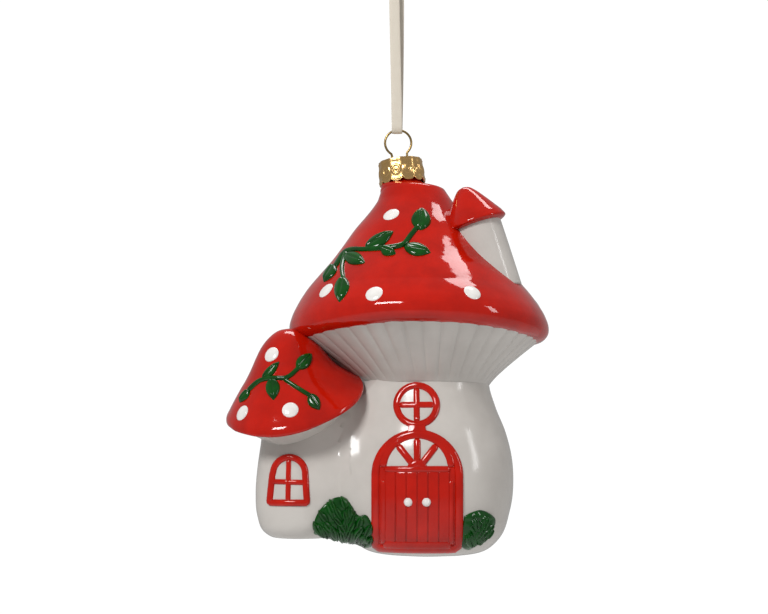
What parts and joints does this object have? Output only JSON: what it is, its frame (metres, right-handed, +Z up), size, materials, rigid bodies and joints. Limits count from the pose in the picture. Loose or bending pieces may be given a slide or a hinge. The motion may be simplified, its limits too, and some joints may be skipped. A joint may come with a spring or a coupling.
{
  "type": "hanging ornament",
  "caption": "Ceramic toadstool house ornament with a gilt crown, a sprung wire hanger and a ribbon, to hang from a twig or hook.",
  "frame": {"origin": "hanging point: the middle of the top of the ribbon's knot, where a twig or hook holds the ribbon", "axes": "+Z up along the hanging ribbon, the door faces -Y, the side toadstool stands towards -X"},
  "size_m": [0.0953, 0.0774, 0.176],
  "materials": {
    "white_glaze": "gloss",
    "red_glaze": "gloss",
    "green_glaze": "gloss",
    "gilt_sheet": "gold anodised, satin",
    "spring_wire": "dull old gold",
    "ribbon": "satin weave"
  },
  "bodies": {
    "ribbon_top": {"ribbon_knot": "ribbon"},
    "ribbon": {"ribbon": "ribbon"},
    "hanger": {"hanger_wire": "spring_wire", "crown_cap": "gilt_sheet"},
    "house": {"main_stalk": "white_glaze", "gill_collar": "white_glaze", "chimney_stem": "white_glaze", "side_stalk": "white_glaze", "side_gills": "white_glaze", "fanlight_panes": "white_glaze", "door_knobs": "white_glaze", "round_window_panes": "white_glaze", "arched_window_panes": "white_glaze", "main_spots": "white_glaze", "side_spots": "white_glaze", "main_cap": "red_glaze", "neck": "red_glaze", "chimney_cap": "red_glaze", "side_cap": "red_glaze", "door_frame": "red_glaze", "door_leaves": "red_glaze", "round_window": "red_glaze", "arched_window": "red_glaze", "bush_left": "green_glaze", "bush_right": "green_glaze", "main_vine": "green_glaze", "side_vine": "green_glaze"}
  },
  "joints": [
    {"name": "ribbon_twist", "type": "hinge", "parent": "ribbon_top", "child": "ribbon", "pos_m": [0, 0, 0], "axis": [0, 0, 1], "range_deg": [-180, 180]},
    {"name": "hanger_swing", "type": "hinge", "parent": "ribbon", "child": "hanger", "pos_m": [0, 0, -0.04859], "axis": [1, 0, 0], "range_deg": [-60, 60]},
    {"name": "cap_pull", "type": "slide", "parent": "hanger", "child": "house", "axis": [0.1045, 0, -0.9945], "range_m": [0, 0.03]}
  ]
}
